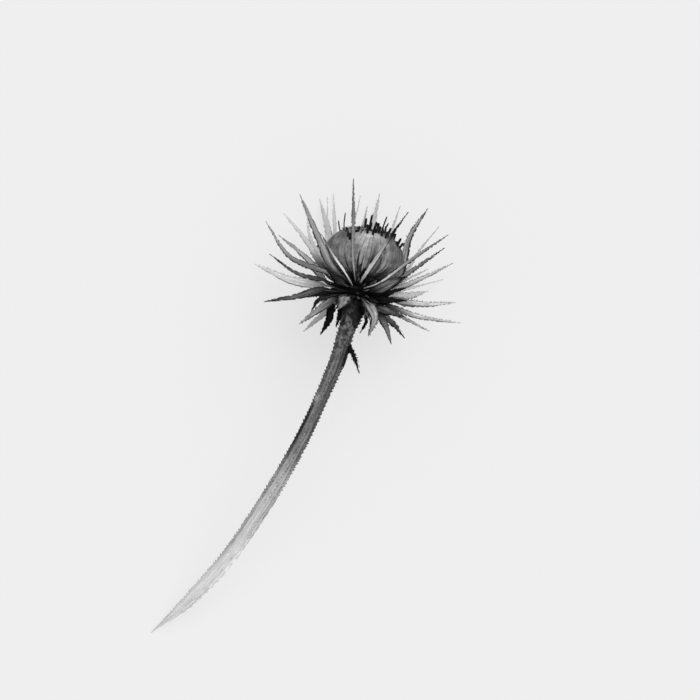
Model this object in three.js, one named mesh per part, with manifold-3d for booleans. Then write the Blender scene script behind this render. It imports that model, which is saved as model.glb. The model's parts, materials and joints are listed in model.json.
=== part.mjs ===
// A dried thistle flower head on its curved, tapering stem, cut and laid down on a flat surface.
//
// The stem ends in a swollen receptacle. Around the receptacle sit six whorls of spiny bracts, and on
// top of it the bulb of closed scales, with a tuft of withered florets over its crown. One small leaf
// grows from the stem. The plant rests on the tips of its lower bracts and on the thin end of the stem.
//
// Millimetres, +Z up. +Y runs along the plant towards the flower and +X to its right, seen from above.
// The origin is the middle of the bounding box, on the surface that the plant lies on.
import * as THREE from "three";
import { mergeVertices } from "three/addons/utils/BufferGeometryUtils.js";
import Module from "manifold-3d";

// Driving dimensions
const HEAD_HEIGHT = 30; // receptacle above the surface
const HEAD_LEAN = 14; // degrees that the head leans to the right
const HEAD_NOD = 10; // degrees that the head nods towards the surface
const GAP = 0.3; // clearance between neighbouring pieces
const RECEPTACLE_RADIUS = 4.9;
const RECEPTACLE_FOOT = -4; // heights along the flower's axis, from the middle of the receptacle
const RECEPTACLE_TOP = 4.6;
const BRACT_THICKNESS = 0.9;
const BRACT_RINGS = 11;
const LEAF_WIDTH = 2;
const LEAF_RINGS = 6;
const BLADE_SIDES = 4; // a blade's section is a diamond: a keel, two edges and a rib
const STEM_SIDES = 12;
const STEM_RINGS = 40;
const BULB_SIDES = 24;
const CROWN_RADIUS = 22.6; // the bulb's top is part of this sphere
const CROWN_CENTRE = 0.4;
const CROWN_SPREAD = 28; // degrees from the sphere's pole to the crown's rim
const FLORET_COUNT = 34;
const FLORET_LENGTH = 4.2;
const FLORET_RADIUS = 0.55;
const FLORET_SPREAD = 26; // degrees that the outermost florets lean out
const DISC_THICKNESS = 0.7;
const GOLDEN_ANGLE = 137.508;

const degrees = THREE.MathUtils.degToRad;
const { lerp, smoothstep } = THREE.MathUtils;
const toVector = (point) => new THREE.Vector3(...point);

const TONES = {
  pale: { color: 0xb8b8b8, roughness: 0.85, metalness: 0 },
  grey: { color: 0x868686, roughness: 0.85, metalness: 0 },
  dark: { color: 0x2c2c2c, roughness: 0.8, metalness: 0 },
  streaked: { color: 0x9c9c9c, roughness: 0.8, metalness: 0 },
  bulb: { color: 0x8c8c8c, roughness: 0.9, metalness: 0 },
  floret: { color: 0x262626, roughness: 0.8, metalness: 0 },
  stem: { color: 0x707070, roughness: 0.85, metalness: 0 },
};
const materials = {};
for (const [tone, look] of Object.entries(TONES))
  materials[tone] = new THREE.MeshStandardMaterial(look);

// The plant is built about the middle of its receptacle. In the head, +Z is the flower's axis,
// +X points to the plant's left and +Y away from the surface.
const axis = new THREE.Vector3(
  Math.sin(degrees(HEAD_LEAN)) * Math.cos(degrees(HEAD_NOD)),
  Math.cos(degrees(HEAD_LEAN)) * Math.cos(degrees(HEAD_NOD)),
  -Math.sin(degrees(HEAD_NOD)),
);
const left = new THREE.Vector3(-Math.cos(degrees(HEAD_LEAN)), Math.sin(degrees(HEAD_LEAN)), 0);
const outOfSurface = new THREE.Vector3().crossVectors(axis, left);
const plant = new THREE.Group();
const head = new THREE.Group();
head.quaternion.setFromRotationMatrix(new THREE.Matrix4().makeBasis(left, outOfSurface, axis));
plant.add(head);

function addPiece(parent, name, geometry, tone) {
  const piece = new THREE.Mesh(geometry, materials[tone]);
  piece.name = name;
  parent.add(piece);
}

const wasm = await Module();
wasm.setup();

function toSolid(geometry) {
  const bare = geometry.clone();
  bare.deleteAttribute("normal");
  bare.deleteAttribute("uv");
  const merged = mergeVertices(bare, 1e-3);
  const mesh = new wasm.Mesh({
    numProp: 3,
    vertProperties: merged.getAttribute("position").array,
    triVerts: new Uint32Array(merged.getIndex().array),
  });
  return new wasm.Manifold(mesh);
}

function fromSolid(solid) {
  const { vertProperties, triVerts } = solid.getMesh();
  const geometry = new THREE.BufferGeometry();
  geometry.setAttribute("position", new THREE.BufferAttribute(vertProperties, 3));
  geometry.setIndex(new THREE.BufferAttribute(triVerts, 1));
  return geometry;
}

// A closed rod of radius 1 along +Y, from 0 to 1, with a flat foot and a pointed or a flat top
function unitRod(sides, rings, top = "pointed") {
  const profile = [new THREE.Vector2(0, 0)];
  for (let ring = 0; ring < rings; ring++) profile.push(new THREE.Vector2(1, ring / rings));
  if (top === "flat") profile.push(new THREE.Vector2(1, 1));
  profile.push(new THREE.Vector2(0, 1));
  return new THREE.LatheGeometry(profile, sides);
}

// Lays a unit rod along a spine. For each share of the length, section gives the direction of the
// rod's width, half that width and half the thickness across it.
function layAlong(spine, rod, section) {
  const position = rod.getAttribute("position");
  const normal = new THREE.Vector3();
  for (let i = 0; i < position.count; i++) {
    const share = position.getY(i);
    const { side, halfWidth, halfThickness } = section(share);
    normal.crossVectors(side, spine.getTangentAt(share));
    const laid = spine.getPointAt(share);
    laid.addScaledVector(side, position.getX(i) * halfWidth);
    laid.addScaledVector(normal, position.getZ(i) * halfThickness);
    position.setXYZ(i, laid.x, laid.y, laid.z);
  }
  return rod;
}

// The level direction across a spine
function levelSide(spine, share) {
  const along = spine.getTangentAt(share);
  return new THREE.Vector3(along.y, -along.x, 0).normalize();
}

// Stem: from its thin torn end, in a low arch above the surface, to the top of the receptacle
const STEM_SPINE = [
  [-76.3, -126.6, 0.2 - HEAD_HEIGHT],
  [-62, -113.6, 8.6 - HEAD_HEIGHT],
  [-48, -98.2, 17 - HEAD_HEIGHT],
  [-32.4, -75.6, 26.4 - HEAD_HEIGHT],
  [-19.7, -53.4, 32.6 - HEAD_HEIGHT],
  [-12.7, -38.7, 34.2 - HEAD_HEIGHT],
  [-6.6, -24.2, 33.8 - HEAD_HEIGHT],
];
const NECK_HEIGHT = -14;
// Each pair is a share of the stem's length and the radius there.
const STEM_RADII = [
  [0, 0.4],
  [0.02, 0.65],
  [0.06, 1.4],
  [0.13, 2.5],
  [0.2, 2.9],
  [0.45, 2.9],
  [0.71, 2.45],
  [0.87, 3.05],
  [0.925, 3.3],
  [0.95, RECEPTACLE_RADIUS],
  [1, RECEPTACLE_RADIUS],
];

function stemRadius(share) {
  const next = Math.max(1, STEM_RADII.findIndex(([at]) => at >= share));
  const [fromShare, from] = STEM_RADII[next - 1];
  const [toShare, to] = STEM_RADII[next];
  return lerp(from, to, (share - fromShare) / (toShare - fromShare));
}

function makeStem() {
  const onAxis = [NECK_HEIGHT, RECEPTACLE_FOOT, RECEPTACLE_TOP].map((height) =>
    axis.clone().multiplyScalar(height),
  );
  const points = [...STEM_SPINE.map(toVector), ...onAxis];
  const spine = new THREE.CatmullRomCurve3(points, false, "centripetal");
  const section = (share) => {
    const radius = stemRadius(share);
    return { side: levelSide(spine, share), halfWidth: radius, halfThickness: radius };
  };
  addPiece(plant, "stem", layAlong(spine, unitRod(STEM_SIDES, STEM_RINGS, "flat"), section), "stem");
}

// Blades: the leaf and the bracts narrow a little to the foot and run out to a sharp tip.
const WIDEST = 0.36; // share of the length where a blade is widest
const FOOT_WIDTH = 0.5; // width at the foot, as a share of the greatest width
const TIP_THICKNESS = 0.35; // thickness at the tip, as a share of the greatest thickness
const LEAST_HALF_WIDTH = 0.05;

function bladeHalfWidth(width, share) {
  const swell = lerp(FOOT_WIDTH, 1, Math.sin((share / WIDEST) * (Math.PI / 2)));
  const taper = Math.pow((1 - share) / (1 - WIDEST), 0.85);
  return (width / 2) * (share < WIDEST ? swell : taper) + LEAST_HALF_WIDTH;
}

const bladeHalfThickness = (share) => (BRACT_THICKNESS / 2) * lerp(1, TIP_THICKNESS, share);

// Leaf: one small withered leaf on the right of the stem, below the head
const LEAF_SPINE = [
  [-2.3, -19.4, 6.4],
  [-0.9, -22.8, 6.3],
  [0.2, -26, 5],
  [1.2, -29.4, 2.6],
];

function makeLeaf() {
  const spine = new THREE.CatmullRomCurve3(LEAF_SPINE.map(toVector));
  const section = (share) => ({
    side: levelSide(spine, share),
    halfWidth: bladeHalfWidth(LEAF_WIDTH, share),
    halfThickness: bladeHalfThickness(share),
  });
  addPiece(plant, "stem_leaf", layAlong(spine, unitRod(BLADE_SIDES, LEAF_RINGS), section), "dark");
}

// Bulb: a turned cup of closed scales with a flat foot and a domed crown
const BULB_PROFILE = [
  [0, RECEPTACLE_TOP + GAP],
  [4.6, RECEPTACLE_TOP + GAP],
  [8.4, 6.1],
  [11.8, 7.8],
  [13.9, 9.9],
  [14.6, 12.4],
  [14.2, 15.2],
  [12.8, 18],
];

// An arc of the crown's sphere, raised above it, from its pole to spread degrees out
function crownArc(raised, spread, steps) {
  const radius = CROWN_RADIUS + raised;
  const arc = [];
  for (let step = 0; step <= steps; step++) {
    const tilt = degrees((spread * step) / steps);
    arc.push(new THREE.Vector2(radius * Math.sin(tilt), CROWN_CENTRE + radius * Math.cos(tilt)));
  }
  return arc;
}

function makeBulb() {
  const profile = BULB_PROFILE.map((pair) => new THREE.Vector2(...pair));
  profile.push(...crownArc(0, CROWN_SPREAD, 4).reverse());
  const bulb = new THREE.LatheGeometry(profile, BULB_SIDES);
  addPiece(head, "bulb", bulb.rotateX(Math.PI / 2), "bulb");
}

// Florets: a thin domed disc over the bulb's crown, with withered tubes standing out of it
function makeFlorets() {
  const underside = crownArc(GAP, FLORET_SPREAD + 1, 3);
  const top = crownArc(GAP + DISC_THICKNESS, FLORET_SPREAD + 1, 3);
  const disc = new THREE.LatheGeometry([...underside, ...top.reverse()], BULB_SIDES);
  let tuft = toSolid(disc.rotateX(Math.PI / 2));
  for (let i = 0; i < FLORET_COUNT; i++) {
    const tilt = degrees(FLORET_SPREAD * Math.sqrt((i + 0.5) / FLORET_COUNT));
    const length = FLORET_LENGTH * (1 + 0.3 * Math.sin(i * 2.3));
    const floret = unitRod(5, 2).scale(FLORET_RADIUS, length, FLORET_RADIUS);
    floret.translate(0, CROWN_RADIUS + GAP + DISC_THICKNESS / 2, 0);
    floret.rotateX(Math.PI / 2 - tilt).rotateZ(degrees(i * GOLDEN_ANGLE));
    tuft = tuft.add(toSolid(floret.translate(0, 0, CROWN_CENTRE)));
  }
  addPiece(head, "florets", fromSolid(tuft), "floret");
}

// Bracts: each whorl has a height on the receptacle and the radius and height of each bend, or hip,
// where its bracts pass round the bulb or the ones above them.
const WHORLS = {
  crown: { foot: 3.9, hips: [[13, 7.3], [16.3, 12.8]] },
  inner: { foot: 2.6, hips: [[13, 6.2], [17.2, 10.6]] },
  middle: { foot: 1.3, hips: [[11.6, 3.4]] },
  spreading: { foot: 0, hips: [[10.6, 0.6]] },
  drooping: { foot: -1.3, hips: [[10, -1.8]] },
  reflexed: { foot: -2.6, hips: [[7.4, -4.2]] },
};
// A bract's face looks at the flower's axis at its foot, and rolls this share of the way to lying level.
const LEVELLING = 0.65;

// around: where the foot stands, in degrees from the left, over the top. sway: degrees from there to the
// tip. reach and rise: the tip's distance from the axis and its height. bow: how far the middle of the
// blade is pushed to its outer side, as a share of the distance from hip to tip.
const BRACTS = {
  crown: [
    { around: 330, sway: -7, reach: 23.5, rise: 35, width: 1.3, tone: "pale" },
    { around: 311, sway: -5, reach: 29.3, rise: 39.2, width: 1.5, tone: "pale" },
    { around: 295, sway: -3, reach: 19, rise: 39.5, width: 1, tone: "pale" },
    { around: 281, sway: 0, reach: 19.5, rise: 36.6, width: 1.5, tone: "pale" },
    { around: 266, sway: 5, reach: 22.8, rise: 43.3, width: 2.2, tone: "pale" },
    { around: 250, sway: -4, reach: 20, rise: 39.5, width: 1.3, tone: "pale" },
    { around: 234, sway: -37, reach: 18.9, rise: 37.9, bow: -0.085, width: 3.5, tone: "grey" },
  ],
  inner: [
    { around: 28, sway: 0, reach: 31.5, rise: 26.5, width: 3, tone: "grey" },
    { around: 79, sway: -8, reach: 32, rise: 33, width: 1.5, tone: "streaked" },
    { around: 97, sway: 14, reach: 31, rise: 26.5, width: 1.5, tone: "streaked" },
    { around: 206, sway: 6, reach: 28.2, rise: 34.6, bow: -0.03, width: 1.3, tone: "pale" },
    { around: 292, sway: 20, reach: 32.6, rise: 36.1, width: 2.9, tone: "pale" },
    { around: 334, sway: -10, reach: 30, rise: 26, bow: 0.08, width: 2.4, tone: "pale" },
  ],
  middle: [
    { around: 16, sway: 0, reach: 39, rise: 15, bow: 0.15, width: 2.1, tone: "grey" },
    { around: 68, sway: -9.5, reach: 31.6, rise: 11.6, bow: 0.03, width: 1.6, tone: "streaked" },
    { around: 121, sway: 19, reach: 35, rise: 23.5, width: 1.7, tone: "streaked" },
    { around: 158, sway: -2, reach: 29.5, rise: 21, width: 1.9, tone: "dark" },
    { around: 195, sway: 0, reach: 33, rise: 21, bow: 0.02, width: 2.2, tone: "grey" },
    { around: 222, sway: -2, reach: 31, rise: 19, width: 1.5, tone: "pale" },
    { around: 312, sway: 0, reach: 27, rise: 20, width: 2, tone: "dark" },
    { around: 340, sway: 0, reach: 35, rise: 24.5, bow: -0.03, width: 2.5, tone: "pale" },
  ],
  spreading: [
    { around: 15, sway: 0, reach: 34.5, rise: 4, bow: 0.09, width: 1.8, tone: "dark" },
    { around: 344, sway: 0, reach: 34, rise: 15.5, bow: -0.04, width: 2.7, tone: "grey" },
    { around: 320, sway: 23, reach: 40.5, rise: 3.5, bow: 0.06, width: 4, tone: "pale" },
    { around: 130, sway: 3, reach: 23.5, rise: 6.5, width: 3.2, tone: "dark" },
    { around: 160, sway: -10, reach: 20, rise: 4.2, width: 2.2, tone: "dark" },
    { around: 190, sway: 4, reach: 37.5, rise: 7, bow: 0.05, width: 3.2, tone: "grey" },
    { around: 213, sway: -2, reach: 30, rise: 10, bow: 0.03, width: 2.8, tone: "pale" },
    { around: 242, sway: -20, reach: 40.9, rise: 18.2, width: 1.3, tone: "pale" },
    { around: 280, sway: 0, reach: 26, rise: 9, width: 2.2, tone: "grey" },
    { around: 50, sway: 0, reach: 20, rise: 3, width: 3.2, tone: "dark" },
  ],
  drooping: [
    { around: 8, sway: 0, reach: 31.5, rise: -12.5, bow: 0.02, width: 2.9, tone: "dark" },
    { around: 152, sway: 0, reach: 21, rise: -0.5, width: 3.2, tone: "dark" },
    { around: 178, sway: 6, reach: 39.5, rise: -1.2, bow: 0.05, width: 2.1, tone: "grey" },
    { around: 206, sway: -8, reach: 31, rise: -5.7, width: 1.6, tone: "grey" },
    { around: 236, sway: 0, reach: 25, rise: -4, width: 2.2, tone: "pale" },
    { around: 268, sway: 0, reach: 24, rise: -6, width: 2.2, tone: "grey" },
    { around: 302, sway: 0, reach: 26, rise: -3, width: 2.2, tone: "pale" },
    { around: 334, sway: 0, reach: 22, rise: -5, width: 2.4, tone: "dark" },
  ],
  reflexed: [
    { around: 12, sway: 4, reach: 14.5, rise: -12, bow: -0.2, width: 1.5, tone: "dark" },
    { around: 34, sway: 0, reach: 20.2, rise: -18.6, width: 3.3, tone: "grey" },
    { around: 320, sway: -6, reach: 22, rise: -16, width: 1.9, tone: "pale" },
    { around: 350, sway: -6, reach: 9.1, rise: -18, bow: 0.08, width: 2.6, tone: "dark" },
    { around: 296, sway: 0, reach: 9, rise: -13, width: 2.8, tone: "dark" },
    { around: 59, sway: 7, reach: 11.3, rise: -9.8, width: 4.2, tone: "grey" },
    { around: 120, sway: 20, reach: 10.5, rise: -16, bow: -0.25, width: 4.3, tone: "grey" },
    { around: 158, sway: 5, reach: 20, rise: -5.8, width: 3.2, tone: "dark" },
    { around: 184, sway: -12, reach: 17, rise: -16, bow: -0.06, width: 2.8, tone: "grey" },
    { around: 206, sway: -16, reach: 21.5, rise: -11.5, bow: -0.08, width: 2.9, tone: "dark" },
    { around: 228, sway: 9, reach: 9, rise: -13, bow: -0.28, width: 1.8, tone: "dark" },
    { around: 262, sway: 0, reach: 12, rise: -14, width: 2.4, tone: "grey" },
  ],
};

const AWAY = new THREE.Vector3(0, 1, 0); // away from the surface, in the head

function onHead(radius, around, height) {
  const turn = degrees(around);
  return new THREE.Vector3(radius * Math.cos(turn), radius * Math.sin(turn), height);
}

function bractSpine({ foot, hips }, { around, sway, reach, rise, bow = 0 }) {
  const points = [onHead(RECEPTACLE_RADIUS + GAP, around, foot)];
  hips.forEach(([radius, height], i) => {
    const swayed = (sway * (i + 1)) / (hips.length + 1.5);
    points.push(onHead(radius, around + swayed, height));
  });
  const [hipRadius, hipHeight] = hips.at(-1);
  const outward = reach - hipRadius;
  const onward = rise - hipHeight;
  const middleRadius = hipRadius + outward / 2 + bow * onward;
  const middleHeight = hipHeight + onward / 2 - bow * outward;
  points.push(onHead(middleRadius, around + sway * 0.8, middleHeight));
  points.push(onHead(reach, around + sway, rise));
  return new THREE.CatmullRomCurve3(points, false, "centripetal");
}

function makeBract(name, whorl, bract) {
  const spine = bractSpine(whorl, bract);
  const roundAxis = (share) => onHead(1, bract.around + bract.sway * share + 90, 0);
  const level = (share) => AWAY.clone().cross(spine.getTangentAt(share));
  const hand = roundAxis(0.5).dot(level(0.5)) < 0 ? -1 : 1;
  const section = (share) => {
    const along = spine.getTangentAt(share);
    const roll = LEVELLING * smoothstep(share, 0.05, 0.4);
    const side = roundAxis(share).lerp(level(share).multiplyScalar(hand), roll);
    side.addScaledVector(along, -side.dot(along)).normalize();
    const halfWidth = bladeHalfWidth(bract.width, share);
    return { side, halfWidth, halfThickness: bladeHalfThickness(share) };
  };
  addPiece(head, name, layAlong(spine, unitRod(BLADE_SIDES, BRACT_RINGS), section), bract.tone);
}

function makeBracts() {
  for (const [whorl, bracts] of Object.entries(BRACTS)) {
    bracts.forEach((bract, i) => {
      const number = String(i + 1).padStart(2, "0");
      makeBract(`${whorl}_bract_${number}`, WHORLS[whorl], bract);
    });
  }
}

makeStem();
makeLeaf();
makeBulb();
makeFlorets();
makeBracts();

// The origin goes to the middle of the footprint, on the surface.
const bounds = new THREE.Box3().setFromObject(plant, true);
const middle = bounds.getCenter(new THREE.Vector3());
plant.position.set(-middle.x, -middle.y, -bounds.min.z);

export default plant;
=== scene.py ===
"""A dried thistle flower head on its cut stem, lying on a pale surface, seen from straight above."""
import json
import math
import random

import bmesh
import bpy
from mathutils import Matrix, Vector, noise


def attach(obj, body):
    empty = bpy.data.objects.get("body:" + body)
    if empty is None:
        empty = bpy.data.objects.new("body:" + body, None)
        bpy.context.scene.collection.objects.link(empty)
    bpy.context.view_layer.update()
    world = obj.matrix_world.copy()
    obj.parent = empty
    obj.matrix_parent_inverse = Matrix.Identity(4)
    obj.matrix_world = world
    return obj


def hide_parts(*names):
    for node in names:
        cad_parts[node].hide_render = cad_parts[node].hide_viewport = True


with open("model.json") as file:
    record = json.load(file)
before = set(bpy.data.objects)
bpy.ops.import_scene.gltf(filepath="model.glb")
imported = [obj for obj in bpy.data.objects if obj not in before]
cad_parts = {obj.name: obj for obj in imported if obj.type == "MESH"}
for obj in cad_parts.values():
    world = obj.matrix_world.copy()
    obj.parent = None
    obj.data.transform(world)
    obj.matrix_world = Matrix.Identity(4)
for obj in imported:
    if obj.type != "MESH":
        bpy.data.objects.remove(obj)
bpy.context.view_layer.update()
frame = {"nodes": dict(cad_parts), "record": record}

MM = 0.001
MERGED = 1e-6  # metres: points this close are joined
GOLDEN_TURN = 137.508  # degrees from each place to the next, to spread them evenly round an axis
HEAD_LEAN = math.radians(14)  # to the plant's right
HEAD_NOD = math.radians(10)  # towards the surface
CROWN_RADIUS = 22.6  # millimetres: the bulb's crown is part of this sphere
CROWN_CENTRE = 0.4  # the sphere's middle, above the middle of the receptacle
DISC_RIM = 27  # degrees from the pole to the rim of the disc of chaff

# The flower's axis, and the two directions across it: to the plant's left and away from the surface
AXIS = Vector((
    math.sin(HEAD_LEAN) * math.cos(HEAD_NOD),
    math.cos(HEAD_LEAN) * math.cos(HEAD_NOD),
    -math.sin(HEAD_NOD),
))
LEFT = Vector((-math.cos(HEAD_LEAN), math.sin(HEAD_LEAN), 0))
OUT_OF_SURFACE = AXIS.cross(LEFT)


def merged_copy(node):
    """The mesh of a CAD node with its loose triangles joined."""
    bm = bmesh.new()
    bm.from_mesh(frame["nodes"][node].data)
    bmesh.ops.remove_doubles(bm, verts=bm.verts, dist=MERGED)
    return bm


def find_receptacle():
    """The middle of the receptacle, below the pole of the bulb."""
    bulb = merged_copy("bulb")
    pole = max((vert.co for vert in bulb.verts), key=AXIS.dot).copy()
    bulb.free()
    return pole - AXIS * (CROWN_CENTRE + CROWN_RADIUS) * MM


RECEPTACLE = find_receptacle()


def on_head(radius, around, height):
    """A point by its distance from the flower's axis, degrees round it and distance along it."""
    turn = math.radians(around)
    outward = LEFT * math.cos(turn) + OUT_OF_SURFACE * math.sin(turn)
    return RECEPTACLE + (outward * radius + AXIS * height) * MM


def through(points, share):
    """The value at a share of the way along a smooth line through points."""
    span = share * (len(points) - 1)
    start = min(int(span), len(points) - 2)
    t = span - start
    before, here, there, after = (
        points[min(max(start + step, 0), len(points) - 1)] for step in (-1, 0, 1, 2)
    )
    slope = there - before
    bend = 2 * before - 5 * here + 4 * there - after
    turn = 3 * here - before - 3 * there + after
    return here + (slope * t + bend * t**2 + turn * t**3) * 0.5


def heading(points, share, reach):
    """The way a smooth line through points goes, from just before a share of it to just after."""
    return through(points, min(1, share + reach)) - through(points, max(0, share - reach))


def steps(table, at):
    """Reads a table of (place, value) pairs, straight between them."""
    for (low, start), (high, end) in zip(table, table[1:]):
        if at <= high:
            return start + (end - start) * max(0, (at - low) / (high - low))
    return table[-1][1]


def bump(at, middle, reach):
    """1 at the middle, fading to nothing at about twice the reach on either side."""
    return math.exp(-(((at - middle) / reach) ** 2))


def reflectance(level):
    """How much light a grey reflects. Level is as the eye sees it, from 0, black, to 1, white."""
    return max(0.0, level) ** 2.2


# ---------------------------------------------------------------- finishes


class Value:
    """A shader socket that arithmetic can be done on."""

    def __init__(self, finish, socket):
        self.finish = finish
        self.socket = socket

    def maths(self, operation, *operands):
        sockets = dict(enumerate((self, *operands)))
        return self.finish.add("Math", {"operation": operation}, sockets)

    def __add__(self, other):
        return self.maths("ADD", other)

    def __sub__(self, other):
        return self.maths("SUBTRACT", other)

    def __rsub__(self, other):
        return (self * -1) + other

    def __mul__(self, other):
        return self.maths("MULTIPLY", other)

    __radd__ = __add__
    __rmul__ = __mul__

    def size(self):
        return self.maths("ABSOLUTE")

    def smooth(self, low, high, start=0.0, end=1.0):
        """Start up to low, end from high on and smooth between them; high may be the lower one."""
        if low > high:
            low, high, start, end = high, low, end, start
        settings = {"interpolation_type": "SMOOTHSTEP"}
        return self.finish.add("MapRange", settings, {0: self, 1: low, 2: high, 3: start, 4: end})


class Finish:
    """A material whose greys come from the piece's own tones and map, and from a few patterns."""

    def __init__(self, name, roughness, gloss=0.08):
        self.material = bpy.data.materials.new(name)
        self.material.use_nodes = True
        self.tree = self.material.node_tree
        self.shader = self.tree.nodes["Principled BSDF"]
        self.shader.inputs["Roughness"].default_value = roughness
        self.shader.inputs["Specular IOR Level"].default_value = gloss

    def add(self, kind, settings, sockets, output=0):
        node = self.tree.nodes.new("ShaderNode" + kind)
        for name, setting in settings.items():
            setattr(node, name, setting)
        for key, value in sockets.items():
            self.put(node.inputs[key], value)
        return Value(self, node.outputs[output])

    def put(self, socket, value):
        if isinstance(value, Value):
            self.tree.links.new(value.socket, socket)
        else:
            socket.default_value = value

    def rolled_map(self):
        """Shares of the length and of the way round, from the map rolled round the piece."""
        source = self.add("UVMap", {"uv_map": "rolled"}, {})
        return [self.add("SeparateXYZ", {}, {0: source}, axis) for axis in "XY"]

    def own(self, name):
        """One of the piece's own tones."""
        return self.add("Attribute", {"attribute_name": name}, {}, "Fac")

    def place(self):
        return self.add("TexCoord", {}, {}, "Object")

    def vector(self, x, y, z):
        return self.add("CombineXYZ", {}, {0: x, 1: y, 2: z})

    def noise(self, vector, scale=1.0, detail=3.0):
        sockets = {"Vector": vector, "Scale": scale, "Detail": detail}
        return self.add("TexNoise", {}, sockets, "Fac")

    def grey(self, value):
        self.put(self.shader.inputs["Base Color"], self.vector(value, value, value))

    def bump(self, height, distance):
        sockets = {"Height": height, "Distance": distance}
        self.put(self.shader.inputs["Normal"], self.add("Bump", {}, sockets, "Normal"))


def blend(start, end, share):
    return start + (end - start) * share


def bract_finish(name, contrast, rim_width):
    """A dry blade: streaked along its length, dark along its edges, most along the one turned away
    from the light, which is painted shade, and with a faint rib. Rim width is a share of the half
    width."""
    finish = Finish(name, 0.85)
    along, around = finish.rolled_map()
    across = 1 - (around * 2 - 1).size()
    chance = finish.own("chance")
    edge = finish.own("rim")
    streaks = finish.noise(finish.vector(along * 2.5, across * 8, chance * 40), detail=4.0)
    patches = finish.noise(finish.vector(along * 8, across * 1.5, chance * 17 + 5))
    tone = finish.own("tone") * streaks.smooth(0.3, 0.7, 1 - contrast, 1 + contrast * 0.8)
    tone = tone * patches.smooth(0.3, 0.7, 1 - contrast * 0.6, 1 + contrast * 0.4)
    grain = finish.noise(finish.place(), 1500.0, 2.0)
    tone = tone * grain.smooth(0.35, 0.65, 1 - contrast * 0.5, 1 + contrast * 0.3)
    waver = (streaks - 0.5) * 0.3
    # Painted shade: the rim darkens the edge turned away from the light; far_rim is a fainter dark
    # line on the other edge
    rim = (across + waver).smooth(rim_width + 0.1, rim_width - 0.04)
    far_rim = (across + waver).smooth(0.96 - rim_width * 0.7, 1.06 - rim_width * 0.7, 0.0, 0.8)
    tone = blend(tone, edge, rim.maths("MAXIMUM", far_rim))
    rib = (across - 0.5).size().smooth(0.06, 0.02) * along.smooth(0.7, 0.3, 0.0, contrast)
    finish.grey(blend(tone, edge, rib))
    finish.bump(streaks, 0.12 * MM)
    return finish.material


def scale_finish():
    """The bulb's closed scales: fine streaks, with uneven patches across them."""
    finish = Finish("bulb_scales", 0.9)
    along, around = finish.rolled_map()
    chance = finish.own("chance")
    streaks = finish.noise(finish.vector(along * 5, around * 5, chance * 60))
    patches = finish.noise(finish.place(), 260.0, 3.0)
    blots = finish.noise(finish.place(), 620.0, 4.0)
    tone = finish.own("tone") * streaks.smooth(0.3, 0.7, 0.88, 1.1)
    tone = tone * patches.smooth(0.36, 0.62, 0.68, 1.16) * blots.smooth(0.3, 0.6, 0.82, 1.08)
    across = (1 - (around * 2 - 1).size() - 0.5).size() * 2
    finish.grey(tone * (across + (streaks - 0.5) * 0.3).smooth(0.6, 0.95, 1.0, 0.9))
    finish.bump(streaks, 0.08 * MM)
    return finish.material


def floret_finish():
    """Withered florets, nearly black."""
    finish = Finish("floret_tuft", 0.8)
    mottle = finish.noise(finish.place(), 900.0)
    finish.grey(finish.own("tone") * mottle.smooth(0.35, 0.7, 0.6, 1.9))
    finish.bump(mottle, 0.12 * MM)
    return finish.material


def stem_finish():
    """Fibre: streaked along the stem, and blotted near the head."""
    finish = Finish("stem_fibre", 0.85)
    along, around = finish.rolled_map()
    chance = finish.own("chance")
    fibres = finish.noise(finish.vector(along * 26, around * 24, chance * 30), detail=4.0)
    mottle = finish.noise(finish.place(), 520.0, 4.0)
    bleached = along.smooth(0.5, 0.6, 0.35, 1.0)
    tone = finish.own("tone") * (1 + (fibres.smooth(0.3, 0.7, -0.3, 0.3)) * bleached)
    blots = mottle.smooth(0.46, 0.56) * along.smooth(0.78, 0.9, 0.15, 0.9)
    finish.grey(blend(tone, 0.012, blots * along.smooth(0.45, 0.65)))
    finish.bump(fibres, 0.14 * MM)
    return finish.material


FLOOR_GREY = 0.3
FLOOR_GLOW = 0.56


def floor_finish():
    """A pale matt surface that glows a little, so that shadows on it stay faint."""
    finish = Finish("pale_surface", 1.0, gloss=0)
    finish.shader.inputs["Base Color"].default_value = (FLOOR_GREY, FLOOR_GREY, FLOOR_GREY, 1)
    finish.shader.inputs["Emission Color"].default_value = (1, 1, 1, 1)
    finish.shader.inputs["Emission Strength"].default_value = FLOOR_GLOW
    return finish.material


FINISHES = {
    "pale_bract": bract_finish("pale_bract", contrast=0.18, rim_width=0.2),
    "grey_bract": bract_finish("grey_bract", contrast=0.3, rim_width=0.3),
    "dark_bract": bract_finish("dark_bract", contrast=0.5, rim_width=0.26),
    "streaked_bract": bract_finish("streaked_bract", contrast=0.2, rim_width=0.27),
    "bulb_scales": scale_finish(),
    "floret_tuft": floret_finish(),
    "stem_fibre": stem_finish(),
}

# ---------------------------------------------------------------- making pieces


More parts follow.
